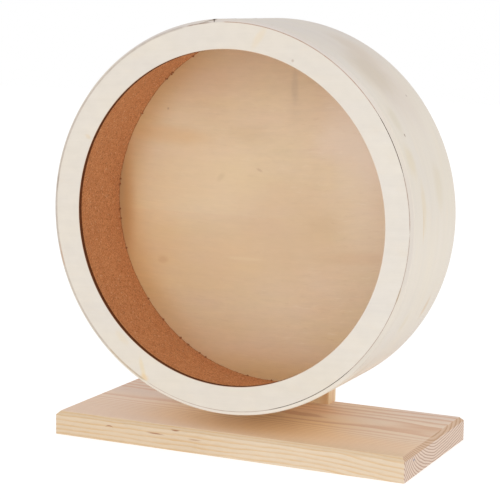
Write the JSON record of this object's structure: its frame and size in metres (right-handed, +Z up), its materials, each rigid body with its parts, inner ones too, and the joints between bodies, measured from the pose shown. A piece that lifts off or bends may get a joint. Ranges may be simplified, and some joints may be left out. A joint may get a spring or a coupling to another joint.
{
  "type": "rodent exercise wheel",
  "caption": "Free-standing wooden running wheel: an open-fronted plywood drum lined with cork turns on a ball-bearing hub that is bolted to an upright post on a flat base board.",
  "frame": {"origin": "centre of the base board's underside", "axes": "+Z up, the drum's open face looks along -Y, and the axle lies along Y"},
  "size_m": [0.28, 0.146, 0.3115],
  "materials": {
    "base_pine": "bare planed pine with growth rings and end grain",
    "post_pine": "bare planed pine, grain upright",
    "skin_plywood": "bare sanded pale plywood, grain round the rim",
    "ring_plywood": "bare sanded pale plywood, inner edge browned by the cut",
    "panel_plywood": "bare sanded tan plywood",
    "cork": "fine-grained pressed cork",
    "hub_wood": "turned pine",
    "zinc_steel": "zinc plated",
    "screw_steel": "yellow zinc plated",
    "race_steel": "ground bearing steel",
    "ball_steel": "polished bearing steel",
    "shield_steel": "stamped sheet",
    "spacer_aluminium": "turned",
    "cage_nylon": "natural nylon",
    "insert_nylon": "blue nylon"
  },
  "bodies": {
    "stand": {"base_board": "base_pine", "upright_post": "post_pine", "base_screws": "screw_steel", "axle_bolt": "zinc_steel", "front_bearing_inner_race": "race_steel", "bearing_spacer_sleeve": "spacer_aluminium", "rear_bearing_inner_race": "race_steel", "rear_spacer_ring": "spacer_aluminium", "front_post_washer": "zinc_steel", "rear_post_washer": "zinc_steel", "lock_nut": "zinc_steel", "lock_nut_insert": "insert_nylon"},
    "wheel": {"drum_skin": "skin_plywood", "front_ring": "ring_plywood", "back_panel": "panel_plywood", "cork_liner": "cork", "hub_block": "hub_wood", "front_bearing_outer_race": "race_steel", "front_bearing_shields": "shield_steel", "rear_bearing_outer_race": "race_steel", "rear_bearing_shields": "shield_steel"},
    "front_ball_set": {"front_bearing_balls": "ball_steel", "front_bearing_cage": "cage_nylon"},
    "rear_ball_set": {"rear_bearing_balls": "ball_steel", "rear_bearing_cage": "cage_nylon"}
  },
  "joints": [
    {"name": "wheel_spin", "type": "hinge", "parent": "stand", "child": "wheel", "pos_m": [0, 0, 0.1715], "axis": [0, 1, 0], "continuous": true},
    {"name": "front_balls_orbit", "type": "hinge", "parent": "stand", "child": "front_ball_set", "pos_m": [0, 0.034, 0.1715], "axis": [0, 1, 0], "continuous": true},
    {"name": "rear_balls_orbit", "type": "hinge", "parent": "stand", "child": "rear_ball_set", "pos_m": [0, 0.044, 0.1715], "axis": [0, 1, 0], "continuous": true}
  ],
  "couplings": [
    {"joint": "front_balls_orbit", "follows": "wheel_spin", "ratio": 0.6323},
    {"joint": "rear_balls_orbit", "follows": "wheel_spin", "ratio": 0.6323}
  ]
}
